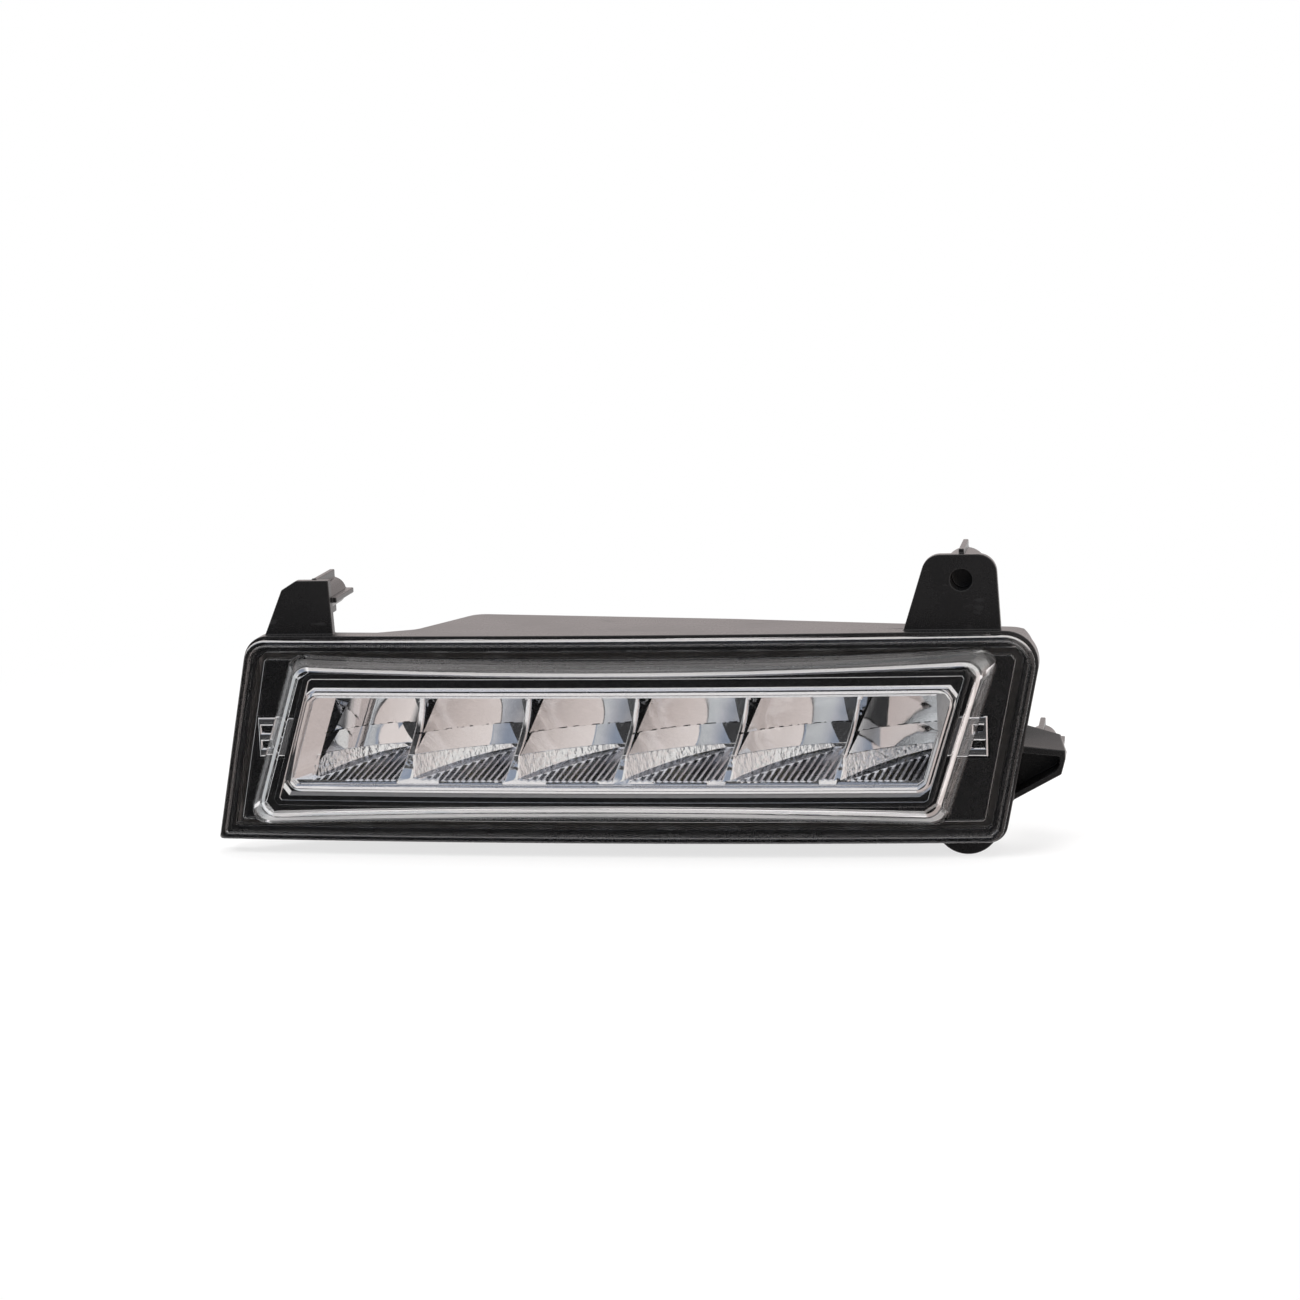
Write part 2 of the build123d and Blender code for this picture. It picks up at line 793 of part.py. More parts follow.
def cell_floor(index):
    """Floor of a cell, which climbs towards the back: flutes along the right wall, plain before the mirror."""
    foot_z = floor_back_z - floor_rise
    base_z = foot_z - floor_rise
    left = cell_left(index) - cell_pitch / 4
    ridges = math.ceil(1.5 * cell_pitch / flute_pitch)
    right = left + ridges * flute_pitch
    ridge_line = []
    for ridge in range(ridges):
        x = left + ridge * flute_pitch
        ridge_line += [(x, foot_z - flute_depth), (x + flute_pitch / 2, foot_z)]
    fluted = Polyline((left, base_z), *ridge_line, (right, foot_z - flute_depth), (right, base_z), close=True)
    plain = Polyline((left, base_z), (left, foot_z), (right, foot_z), (right, base_z), close=True)

    def carried_back(outline):
        profile = Pos(0, cell_front_at(index) - 1, 0) * (Plane.XZ * make_face(outline))
        return extrude(profile, amount=1.5 * cell_depth, dir=(wall_turn, 1, floor_rise / cell_depth))

    shift = Vector(lean_at(foot_z, cell_slope), -foot_pull - flute_margin)
    start, end = [point + shift for point in mirror_ends(index, strip_at(foot_z))]
    along = end - start
    back = Vector(0, 2 * cell_depth)
    margin = make_face(Polyline(start - along, end + along, end + along + back, start - along + back, close=True))
    margin = extrude(Pos(0, 0, base_z) * margin, amount=2 * cell_depth)
    return carried_back(fluted) + (carried_back(plain) & margin)


def cell_hollow(index):
    """The whole hollow of a cell: upper and lower bands, a foot band pulled forward, and a rising floor."""
    foot_z = floor_back_z - floor_rise
    upper = cell_band(index, band_upper_z, opening_top, -band_tilt, 0)
    lower = cell_band(index, band_lower_z, band_upper_z, -band_tilt, 0)
    foot = cell_band(index, foot_z, band_lower_z, -foot_pull, -band_tilt / 2)
    return upper + lower + (foot - cell_floor(index))


def cell_shell(index):
    """Outside of a cell's moulding, about one wall thicker than its hollow, with a flat behind the mirror."""
    left, right, front = cell_left(index), cell_right(index), cell_front_at(index)
    start, end = mirror_ends(index, strip_width_bottom)
    back = end.Y + cell_wall
    plan = Polyline(
        (left - cell_wall, front),
        (start.X - cell_wall, start.Y + mirror_sag),
        (end.X - 2 * cell_wall - mirror_sag, back),
        (right + cell_depth * wall_turn + cell_wall, back),
        (right + cell_wall, front),
        close=True,
    )
    return lean_extrude(make_face(plan), floor_back_z - floor_rise - cell_wall, ceiling_top, cell_slope)


def led_place(index):
    """X and Y of a cell's LED, over the mirror's focus."""
    x = cell_left(index) + led_offset_x + lean_at(board_bottom, cell_slope)
    return x, cell_front + bow_at(cell_left(index)) + led_offset_y


def screw_place(divider):
    x = divider_x(divider) + screw_offset_x + lean_at(ceiling_top, cell_slope)
    return x, cell_front + bow_at(divider_x(divider)) + screw_offset_y


def make_reflector():
    """Metallised moulding: lip, six cells with tilted mirror bands, carrier flange and end lugs."""
    lip = bowed_prism(opening_face(-lip_width) - opening_face(), lip_front, lip_front + lip_thickness)
    carrier = bowed_prism(plateau_face(bezel_inset, False) - opening_face(), carrier_front,
                          carrier_front + carrier_thickness)
    body = lip + carrier
    for index in range(cell_count):
        body += cell_shell(index)
    for divider in screw_dividers:
        x, y = screw_place(divider)
        half = screw_post / 2
        foot = board_bottom - screw_length - cell_wall
        body += block((x - half, y - half, foot), (x + half, y + half, board_bottom))
    for index in range(cell_count):
        body -= cell_hollow(index)
    for index in range(cell_count):
        x, y = led_place(index)
        half = led_window / 2
        body -= block((x - half, y - half, opening_top - 2), (x + half, y + half, board_bottom + 1))
    for divider in screw_dividers:
        x, y = screw_place(divider)
        body -= upright_rod(screw_radius, x, y, board_bottom - screw_length, board_bottom + 1)
    throat = straight_prism(opening_face(), -cell_depth, cell_depth)
    radius = (opening_height / 2) ** 2 / (2 * divider_hollow) + divider_hollow / 2
    for divider in range(cell_count - 1):
        x = divider_x(divider)
        y = cell_front + bow_at(x) + divider_hollow - radius
        scoop = Pos(x, y, opening_shift_z) * Rot(0, 90, 0) * Cylinder(radius, cell_pitch / 2)
        body -= scoop & throat
    for side in (-1, 1):
        (low_x, low_z), (high_x, high_z) = lug_span(side)
        front = lug_depth(side)
        lug = block((low_x, front, low_z), (high_x, front + lug_thickness, high_z))
        for x0, x1, z0, z1 in lug_windows(side):
            lug -= block((x0, front - 1, z0), (x1, front + 2 * lug_thickness, z1))
        body += lug - throat
    return body


def make_inner_bezel():
    """Black stepped frame between the lens plateau and the chrome lip."""
    outer = plateau_face(bezel_inset)
    step = plateau_face(bezel_step_inset)
    inner = opening_face(-lip_width + bezel_lap)
    front_ring = bowed_prism(outer - step, bezel_front, bezel_front + bezel_wall)
    step_ring = bowed_prism(plateau_face(bezel_step_inset - bezel_wall, False) - inner,
                            bezel_front + bezel_step, bezel_front + bezel_step + bezel_wall)
    skirt = bowed_prism(outer - plateau_face(bezel_inset + bezel_wall, False), bezel_front, carrier_front)
    bezel = front_ring + step_ring + skirt
    for side in (-1, 1):
        (low_x, low_z), (high_x, high_z) = lug_span(side, -lug_clearance)
        front = lug_depth(side) - lug_clearance
        bezel -= block((low_x, front, low_z), (high_x, front + 2 * cell_depth, high_z))
    return bezel


def board_ends():
    first, last = led_place(0)[0], led_place(cell_count - 1)[0]
    return first - board_margin, last + board_margin


def screw_slots(z_low, z_high):
    """Slots that run in from the rear edge, one for each board screw."""
    slots = Part()
    half = screw_radius + pin_clearance
    for divider in screw_dividers:
        x, y = screw_place(divider)
        slots += block((x - half, y - half, z_low), (x + half, y + board_width, z_high))
    return slots


def make_led_board():
    """Aluminium-core board over the cells, with a tail behind it for the driver parts."""
    low_x, high_x = board_ends()
    board = block((low_x, board_front, board_bottom), (high_x, board_front + board_width, board_top))
    tail_low = (board_tail_x - board_tail_length / 2, board_front + board_width, board_bottom)
    tail_high = (board_tail_x + board_tail_length / 2, board_front + board_width + board_tail_depth, board_top)
    return board + block(tail_low, tail_high) - screw_slots(board_bottom, board_top)


def make_led(index):
    """Surface-mount LED under the board: square base and a phosphor pad that faces down."""
    x, y = led_place(index)
    half = led_size / 2
    foot = board_bottom - led_base
    base = block((x - half, y - half, foot), (x + half, y + half, board_bottom))
    rim = led_pad_size / 2
    return base + block((x - rim, y - rim, foot - led_pad_rise), (x + rim, y + rim, foot))


def strip_over_board(z_low, z_high):
    """A strip the size of the board's front part, slotted for the screws."""
    low_x, high_x = board_ends()
    strip = block((low_x, board_front, z_low), (high_x, board_front + board_width, z_high))
    return strip - screw_slots(z_low, z_high)


def make_thermal_pad():
    return strip_over_board(board_top, sink_bottom)


def make_heat_sink():
    """Extruded aluminium strip with fins along its length, sawn across at the screw heads."""
    low_x, high_x = board_ends()
    sink = strip_over_board(sink_bottom, sink_top)
    gap = (board_width - sink_fin_wall) / (sink_fin_count - 1)
    for index in range(sink_fin_count):
        y = board_front + index * gap
        sink += block((low_x, y, sink_top), (high_x, y + sink_fin_wall, sink_top + sink_fin_rise))
    for divider in screw_dividers:
        x, y = screw_place(divider)
        half = screw_head_radius + screw_head_room
        sink -= block((x - half, y - reach, sink_top), (x + half, y + reach, sink_top + 2 * sink_fin_rise))
    return sink


def make_board_screws():
    """Hexagon-head screws that hold sink, pad and board down on the reflector."""
    screws = []
    for divider in screw_dividers:
        x, y = screw_place(divider)
        shank = upright_rod(screw_radius - pin_clearance, x, y, board_bottom - screw_length + 1, sink_top)
        head = extrude(Pos(x, y, sink_top) * RegularPolygon(screw_head_radius, 6), amount=screw_head_height)
        screws.append(shank + head)
    return Compound(children=[Solid(screw.solid().wrapped) for screw in screws])


def tail_place(along, across):
    """X and Y on the board's tail, as shares of its length and depth."""
    x = board_tail_x + (along - 0.5) * board_tail_length
    return x, board_front + board_width + across * board_tail_depth


def make_driver_chip():
    x, y = tail_place(*chip_place)
    long, wide, tall = chip_size
    return Pos(x, y, board_top) * Box(long, wide, tall, align=(Align.CENTER, Align.CENTER, Align.MIN))


def make_choke():
    x, y = tail_place(*choke_place)
    body = Pos(x, y, board_top) * Box(choke_size, choke_size, choke_height,
                                      align=(Align.CENTER, Align.CENTER, Align.MIN))
    return chamfer(body.edges().filter_by(Axis.Z), choke_corner)


def make_capacitor(place):
    x, y = tail_place(*place)
    long, wide, tall = capacitor_size
    return Pos(x, y, board_top) * Box(long, wide, tall, align=(Align.CENTER, Align.CENTER, Align.MIN))


def main():
    nodes = {
        "cover_lens": make_cover_lens(),
        "lens_seal": make_lens_seal(),
        "rear_housing": make_rear_housing(),
        "vent_cap": make_vent_cap(),
        "reflector": make_reflector(),
        "inner_bezel": make_inner_bezel(),
        "led_board": make_led_board(),
        "thermal_pad": make_thermal_pad(),
        "heat_sink": make_heat_sink(),
        "board_screws": make_board_screws(),
        "driver_chip": make_driver_chip(),
        "choke": make_choke(),
    }
    for index, place in enumerate(capacitor_places):
        nodes[f"capacitor_{index + 1}"] = make_capacitor(place)
    for index in range(cell_count):
        nodes[f"led_{index + 1}"] = make_led(index)
    for index, bar in enumerate(pin_bars()):
        nodes[f"terminal_{index + 1}"] = bar
    home = Pos(-upper_outer_x, -(tab_front + tab_wall + boss_length), -upper_outer_z)
    os.makedirs("parts", exist_ok=True)
    for name, shape in nodes.items():
        export_step(home * shape, f"parts/{name}.step")


main()
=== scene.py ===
"""Looks of a six-cell daytime running light: finishes, rounded edges, floor, light and camera."""
import math
import bmesh
import bpy
from mathutils import Matrix, Vector


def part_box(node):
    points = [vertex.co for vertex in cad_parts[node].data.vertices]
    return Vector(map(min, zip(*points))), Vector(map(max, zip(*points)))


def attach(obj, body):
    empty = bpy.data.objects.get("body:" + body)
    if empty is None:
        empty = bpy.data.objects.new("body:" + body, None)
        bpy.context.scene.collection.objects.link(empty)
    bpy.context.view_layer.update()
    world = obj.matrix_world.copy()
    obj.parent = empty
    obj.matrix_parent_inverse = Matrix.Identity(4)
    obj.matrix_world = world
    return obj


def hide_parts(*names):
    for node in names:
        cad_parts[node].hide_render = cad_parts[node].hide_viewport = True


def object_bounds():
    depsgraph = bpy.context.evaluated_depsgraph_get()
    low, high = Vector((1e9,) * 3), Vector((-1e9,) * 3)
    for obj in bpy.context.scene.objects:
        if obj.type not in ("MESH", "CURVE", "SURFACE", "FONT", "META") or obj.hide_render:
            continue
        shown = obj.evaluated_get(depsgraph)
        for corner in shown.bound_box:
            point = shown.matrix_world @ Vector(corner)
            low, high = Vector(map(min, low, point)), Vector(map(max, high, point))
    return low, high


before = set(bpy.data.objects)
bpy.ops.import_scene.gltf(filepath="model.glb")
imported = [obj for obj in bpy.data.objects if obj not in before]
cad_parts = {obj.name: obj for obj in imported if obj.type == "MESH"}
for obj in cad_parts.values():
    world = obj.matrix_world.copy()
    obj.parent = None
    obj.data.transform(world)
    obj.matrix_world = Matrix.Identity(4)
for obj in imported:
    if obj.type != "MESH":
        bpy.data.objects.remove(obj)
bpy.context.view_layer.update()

MM = 0.001

# The middle of the lens rim's front, from the part's origin
RIM_MIDDLE = Vector((-101.3, -32.0, -46.0)) * MM

# The camera: angles in degrees, distance in metres, and the pixel that shows a point near the rim's middle
LENS_MM = 85.0
SENSOR_MM = 36.0
IMAGE_SIZE = 1300
CAMERA_AZIMUTH = 10.0
CAMERA_ELEVATION = 10.0
CAMERA_ROLL = -2.1
CAMERA_DISTANCE = 0.9
AIM_PIXEL = (632, 740)
AIM_POINT = RIM_MIDDLE + Vector((4.85, 0, 0.85)) * MM

# Sizes are millimetres unless said otherwise. A pair is a soft border, over which a mask fades.
# Depths behind the front of the lens rim, which is bowed in plan
BOW_RADIUS = 1800.0
PLATEAU_FRONT = -3.5
RING_FRONT = 0.5
FRAME_FRONT = 1.7
# The depth at which the frame's painted edge highlight ends
PAINTED_HIGHLIGHT_END = (2.2, 2.3)
LIP_FRONT = 3.4
DIVIDER_NEAR = 4.3
DIVIDER_FAR = 7.9
OPEN_AIR = (4.5, 7.0)
CELL_MOUTH = (6.0, 6.5)

# Depth behind the rim's middle of the flat front of the bright moulding's end lugs
LUG_FRONT = 6.6

# How far a corner may lie from a depth that it is picked by
DEPTH_SLACK = 0.05

# Depths behind the plateau's front of the lens's painted highlights, a metallic mask: edge line, slopes and
# the rim's bead
EDGE_LINE_END = (0.5, 0.65)
SLOPE_BAND_START = (0.9, 1.2)
SLOPE_BAND_END = (2.8, 3.2)
BEAD_START = (3.35, 3.45)
BEAD_END = (4.0, 4.3)

# Heights over the rim's middle: the rim's upper bead, the seam of a cell's two mirror bands where painted
# shade runs in dashes, its foot band
TOP_BEAD = (25.5, 26.5)
BAND_SEAM = 1.4
SEAM_HALF_WIDTH = (0.2, 0.35)
FOOT_TOP = (-5.3, -5.0)

# The bead on the bright lip: the ledge left on each side of it, how far it stands forward, and its ridge
LIP_LEDGE = 0.42
LIP_RISE = 2.2
RIDGE_WIDTH = 0.7
RIDGE_RISE = 0.4

# Radii of the rolled edges of the bright moulding, the black frame's ring and the lens rim
LEDGE_ROLL = 0.3
DIVIDER_ROLL = 0.6
LUG_ROLL = 0.7
RING_ROLL = 0.35
RIM_ROLL = 0.75

# The slope on the black frame's step: how far it reaches outward and how far back it falls
SLOPE_REACH = 1.4
SLOPE_FALL = 0.65

# Corners closer than this are merged, and bends flatter than this many degrees are dissolved
MERGE_REACH = 0.002
FLAT_BEND = 0.1

# The floor's half size and the distances from the lamp over which it fades to white, in metres
FLOOR_HALF = 30.0
FLOOR_FADE = (0.12, 0.42)

# Shares of white in the floor under the lamp and of the room's brightness in the light on surfaces
FLOOR_GLOW = 0.72
ROOM_LIGHT = 0.55

# How far a surface faces up or down before it counts as a top or an underside
TURNED = (0.2, 0.6)

# Shares of a capacitor's length under its polarity bar and of an LED's height in its phosphor
POLARITY_BAR = 0.22
PHOSPHOR_PAD = 0.47


class Value:
    """A number that changes over a surface: sums and products of it add Math nodes."""

    def __init__(self, finish, socket):
        self.finish = finish
        self.socket = socket

    def math(self, operation, first, second=0.0):
        return self.finish.node("ShaderNodeMath", {"operation": operation}, {0: first, 1: second})

    def __add__(self, other):
        return self.math("ADD", self, other)

    def __radd__(self, other):
        return self.math("ADD", other, self)

    def __sub__(self, other):
        return self.math("SUBTRACT", self, other)

    def __rsub__(self, other):
        return self.math("SUBTRACT", other, self)

    def __mul__(self, other):
        return self.math("MULTIPLY", self, other)

    def __rmul__(self, other):
        return self.math("MULTIPLY", other, self)

    def __abs__(self):
        return self.math("ABSOLUTE", self)

    def __lt__(self, other):
        return self.math("LESS_THAN", self, other)

    def at_least(self, other):
        return self.math("MAXIMUM", self, other)

    def wrapped(self, pitch):
        """Runs from 0 to pitch and starts again."""
        return self.math("FLOORED_MODULO", self, pitch)

    def eased(self, low, high):
        """0 below low, 1 above high, smooth between them."""
        sockets = {"Value": self, "From Min": low, "From Max": high}
        return self.finish.node("ShaderNodeMapRange", {"interpolation_type": "SMOOTHSTEP"}, sockets)

    def within(self, start, end):
        """1 between two soft borders, 0 outside them."""
        return self.eased(*start) * (1 - self.eased(*end))


class Finish:
    """The nodes of one material or world."""

    def __init__(self, tree):
        self.tree = tree

    def node(self, kind, settings=None, sockets=None, output=0):
        made = self.tree.nodes.new(kind)
        for name, value in (settings or {}).items():
            setattr(made, name, value)
        for name, value in (sockets or {}).items():
            if isinstance(value, Value):
                self.tree.links.new(value.socket, made.inputs[name])
            else:
                made.inputs[name].default_value = value
        return Value(self, made.outputs[output])

    def coordinate(self, vector, letter):
        """One coordinate of a vector."""
        return self.node("ShaderNodeSeparateXYZ", None, {0: vector}, output=letter)

    def blend(self, share, first, second):
        """From the first colour to the second as share goes from 0 to 1."""
        return self.node("ShaderNodeMix", {"data_type": "RGBA"}, {0: share, 6: first, 7: second}, output=2)

    def ray(self, kind):
        """1 for rays of one kind, 0 for the others."""
        return self.node("ShaderNodeLightPath", output=f"Is {kind} Ray")

    def pictured(self):
        """1 for rays that draw the picture, straight, in gloss or through the lens, 0 for others."""
        return self.ray("Camera").at_least(self.ray("Glossy")).at_least(self.ray("Transmission"))


class Surface(Finish):
    """A procedural material on one Principled shader, read by Object coordinates."""

    def __init__(self, name, **constants):
        self.material = bpy.data.materials.new(name)
        self.material.use_nodes = True
        super().__init__(self.material.node_tree)
        self.shader = self.tree.nodes["Principled BSDF"]
        self.place = self.node("ShaderNodeTexCoord", output="Object")
        for socket, value in constants.items():
            label = socket.replace("_", " ").title().replace("Ior", "IOR")
            self.shader.inputs[label].default_value = value

    def axis(self, letter):
        return self.coordinate(self.place, letter)

    def facing(self, letter):
        """How far the surface faces along an axis, from -1 to 1."""
        return self.coordinate(self.node("ShaderNodeTexCoord", output="Normal"), letter)

    def across(self):
        """How far right of the rim's middle a point lies, in millimetres."""
        return (self.axis("X") - RIM_MIDDLE.x) * (1 / MM)

    def above(self):
        """How far over the rim's middle a point lies, in millimetres."""
        return (self.axis("Z") - RIM_MIDDLE.z) * (1 / MM)

    def behind_rim(self):
        """How far behind the bowed front of the rim a point lies, in millimetres."""
        across = self.across()
        return (self.axis("Y") - RIM_MIDDLE.y) * (1 / MM) - across * across * (1 / (2 * BOW_RADIUS))

    def noise(self, size, detail=2.0, stretch=None):
        """Cloudy noise whose patches are about size millimetres across."""
        place = self.place
        if stretch:
            place = self.node("ShaderNodeMapping", None, {"Vector": place, "Scale": stretch})
        sockets = {"Vector": place, "Scale": 1 / (size * MM), "Detail": detail}
        return self.node("ShaderNodeTexNoise", None, sockets)

    def specks(self, size):
        """Distance to the nearest of many scattered points, in units of size."""
        return self.node("ShaderNodeTexVoronoi", None, {"Vector": self.place, "Scale": 1 / (size * MM)})

    def feed(self, **sockets):
        names = {"colour": "Base Color", "roughness": "Roughness", "metallic": "Metallic",
                 "coat": "Coat Weight", "normal": "Normal"}
        for name, value in sockets.items():
            self.tree.links.new(value.socket, self.shader.inputs[names[name]])
        return self

    def relief(self, height, depth, strength=1.0):
        """Bump whose height of 1 stands depth millimetres proud."""
        sockets = {"Height": height, "Distance": depth * MM, "Strength": strength}
        return self.node("ShaderNodeBump", None, sockets, output="Normal")


def clear_polycarbonate():
    """Clear lens with painted highlights: a metallic mask makes its plateau's edge, its slopes and the rim's
    upper bead show as bright lines.
    """
    look = Surface("clear_polycarbonate", base_color=(0.985, 0.99, 0.992, 1), transmission_weight=1.0,
                   ior=1.585)
    haze = look.noise(26, 3).eased(0.45, 0.8)
    flow = look.noise(38, 1)
    streaks = look.noise(2.5, 3, (0.04, 1, 1)).eased(0.35, 0.65)
    low = (0 - look.facing("Z")).eased(*TURNED)
    high = look.facing("Z").eased(*TURNED)
    slopes = look.facing("Y").within((-0.97, -0.93), (-0.4, -0.2))
    depth = look.behind_rim() - PLATEAU_FRONT
    line = 1 - depth.eased(*EDGE_LINE_END)
    band = depth.within(SLOPE_BAND_START, SLOPE_BAND_END) * (0.45 + 0.55 * streaks)
    bead = depth.within(BEAD_START, BEAD_END) * look.above().eased(*TOP_BEAD)
    # Painted highlight: the metallic mask brightens the edge line and slopes, the lower slope more than the
    # upper, and the rim's bead at the top.
    painted_lens_highlight = slopes * (0.55 * line + band * (0.3 + 0.5 * low - 0.22 * high) + bead * (0.1 + 0.5 * high))
    rough = 0.004 + 0.014 * haze + 0.6 * slopes * band * low
    return look.feed(metallic=painted_lens_highlight, roughness=rough, normal=look.relief(flow, 0.02, 0.2))


def satin_black():
    """Black moulding: fine spark-eroded grain and flow marks, with handling wear where no lens covers it."""
    look = Surface("satin_black_housing")
    grain = look.noise(0.28, 2)
    clouds = look.noise(22, 4)
    open_air = look.behind_rim().eased(*OPEN_AIR)
    scuffs = look.noise(3.2, 5, (0.35, 1, 1)).eased(0.62, 0.8) * open_air
    dust = look.noise(0.7, 3).eased(0.66, 0.78) * clouds * open_air
    tone = look.blend(clouds, (0.0065, 0.0063, 0.0066, 1), (0.0115, 0.0112, 0.0115, 1))
    tone = look.blend(0.35 * scuffs + 0.25 * dust, tone, (0.06, 0.06, 0.062, 1))
    rough = 0.2 + 0.1 * clouds + 0.12 * scuffs + 0.05 * grain
    return look.feed(colour=tone, roughness=rough, normal=look.relief(grain, 0.014, 0.5))


def metallised():
    """Bright metal: dull and painted with a cool reflection tint on the cells' floors, pebbled on the foot
    bands, with dashes of painted shade between the mirror bands.
    """
    look = Surface("metallised_reflector", metallic=1.0)
    clouds = look.noise(18, 3)
    haze = look.noise(5, 4).eased(0.5, 0.8)
    floors = look.facing("Z").eased(0.6, 0.75)
    mirrors = look.behind_rim().eased(*CELL_MOUTH) * (1 - look.facing("Y").eased(-0.5, -0.3)) * (1 - floors)
    dashes = look.noise(2.2, 2, (1, 1, 0.2)).eased(0.48, 0.56)
    # Painted shade: dark dashes along the seam between a cell's two mirror bands.
    painted_seam_shade = (1 - abs(look.above() - BAND_SEAM).eased(*SEAM_HALF_WIDTH)) * dashes * mirrors
    tone = look.blend(clouds, (0.93, 0.915, 0.905, 1), (0.86, 0.87, 0.885, 1))
    # Painted reflection: the up-facing floors get a cool blue tint.
    tone = look.blend(floors, tone, (0.9, 0.93, 1, 1))
    tone = look.blend(painted_seam_shade, tone, (0.035, 0.035, 0.04, 1))
    pebbles = look.noise(1.3, 2, (1, 1, 0.6)) * mirrors * (1 - look.above().eased(*FOOT_TOP))
    height = 0.01 * look.noise(7, 1) + 0.3 * pebbles
    rough = 0.03 + 0.05 * haze + 0.24 * floors
    return look.feed(colour=tone, roughness=rough, normal=look.relief(height, 1.0))


def gloss_black():
    """Gloss black frame with a painted highlight, bright and metallic, on the edges that turn in to the
    window, except at the bottom.
    """
    look = Surface("gloss_black_bezel", coat_roughness=0.04)
    inward = look.facing("X") * look.across() + look.facing("Z") * look.above()
    # Painted highlight: bright metal colour stands in for the gloss reflection along the window's inner
    # edges.
    painted_edge_highlight = look.facing("Y").eased(-0.995, -0.97) * (1 - inward.eased(-2, 0))
    painted_edge_highlight = painted_edge_highlight * (1 - look.facing("Z").eased(*TURNED)) * (1 - look.behind_rim().eased(*PAINTED_HIGHLIGHT_END))
    clouds = look.noise(16, 3)
    peel = look.noise(1.6, 2)
    tone = look.blend(clouds, (0.009, 0.009, 0.0095, 1), (0.016, 0.016, 0.0165, 1))
    tone = look.blend(painted_edge_highlight, tone, (0.9, 0.9, 0.9, 1))
    rough = (0.16 + 0.1 * clouds) * (1 - 0.7 * painted_edge_highlight)
    return look.feed(colour=tone, metallic=painted_edge_highlight, roughness=rough, coat=0.35 + 0.4 * clouds,
                     normal=look.relief(peel, 0.02, 0.35))


def sealing_compound():
    look = Surface("sealing_compound")
    clouds = look.noise(6, 4)
    lumps = look.noise(1.1, 3)
    tone = look.blend(clouds, (0.05, 0.046, 0.042, 1), (0.11, 0.1, 0.09, 1))
    return look.feed(colour=tone, roughness=0.5 + 0.25 * lumps, normal=look.relief(lumps, 0.25, 0.7))


def soft_rubber():
    look = Surface("soft_rubber")
    bloom = look.noise(4, 4).eased(0.45, 0.75)
    pores = look.noise(0.35, 2)
    tone = look.blend(bloom, (0.014, 0.014, 0.014, 1), (0.045, 0.044, 0.043, 1))
    return look.feed(colour=tone, roughness=0.68 + 0.16 * bloom, normal=look.relief(pores, 0.04, 0.6))


def solder_mask():
    """White mask with faint stains over broken copper tracks that run along the board."""
    look = Surface("white_solder_mask")
    pitch = 2.6 * MM
    tracks = abs(look.axis("Y").wrapped(pitch) - pitch / 2).eased(0.75 * MM, 0.9 * MM)
    breaks = look.noise(9, 1, (1, 0.1, 1)).eased(0.4, 0.45)
    copper = tracks * breaks
    stains = look.noise(7, 4)
    tone = look.blend(copper, (0.78, 0.78, 0.75, 1), (0.7, 0.72, 0.66, 1))
    tone = look.blend(0.2 * stains, tone, (0.62, 0.58, 0.5, 1))
    return look.feed(colour=tone, roughness=0.32 + 0.15 * stains, normal=look.relief(copper, 0.06, 0.8))


def silicone_pad():
    look = Surface("silicone_pad")
    filler = look.specks(0.5).eased(0.1, 0.5)
    clouds = look.noise(5, 3)
    tone = look.blend(filler, (0.42, 0.47, 0.52, 1), (0.3, 0.35, 0.41, 1))
    tone = look.blend(0.4 * clouds, tone, (0.36, 0.4, 0.44, 1))
    return look.feed(colour=tone, roughness=0.7 + 0.15 * clouds, normal=look.relief(filler, 0.04, 0.5))


def extruded_aluminium():
    """Die lines run along the strip."""
    look = Surface("extruded_aluminium", metallic=1.0)
    lines = look.noise(0.5, 3, (0.01, 1, 1))
    clouds = look.noise(14, 3)
    tone = look.blend(lines, (0.72, 0.73, 0.74, 1), (0.86, 0.86, 0.86, 1))
    rough = 0.26 + 0.2 * lines + 0.1 * clouds
    return look.feed(colour=tone, roughness=rough, normal=look.relief(lines, 0.03, 0.6))


def zinc_plate():
    look = Surface("zinc_plate", metallic=1.0)
    clouds = look.noise(1.5, 4)
    tone = look.blend(clouds, (0.62, 0.64, 0.68, 1), (0.78, 0.77, 0.72, 1))
    return look.feed(colour=tone, roughness=0.24 + 0.25 * clouds, normal=look.relief(clouds, 0.02, 0.5))


def filled_resin(name, dark, pale, fleck):
    """Cast resin with filler flecks of about fleck millimetres."""
    look = Surface(name)
    flecks = look.specks(fleck).eased(0.15, 0.55)
    clouds = look.noise(3, 3)
    tone = look.blend(flecks, pale, dark)
    tone = look.blend(0.3 * clouds, tone, pale)
    return look.feed(colour=tone, roughness=0.5 + 0.2 * clouds, normal=look.relief(flecks, 0.02, 0.6))


def capacitor_resin():
    """Ochre case with a dark polarity bar across one end."""
    look = Surface("ochre_capacitor_resin")
    low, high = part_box("capacitor_1")
    bar = look.axis("Y") < low.y + POLARITY_BAR * (high.y - low.y)
    clouds = look.noise(2, 3)
    grain = look.noise(0.25, 2)
    tone = look.blend(clouds, (0.5, 0.27, 0.04, 1), (0.58, 0.34, 0.07, 1))
    tone = look.blend(bar, tone, (0.2, 0.1, 0.03, 1))
    return look.feed(colour=tone, roughness=0.4 + 0.15 * clouds, normal=look.relief(grain, 0.02, 0.5))


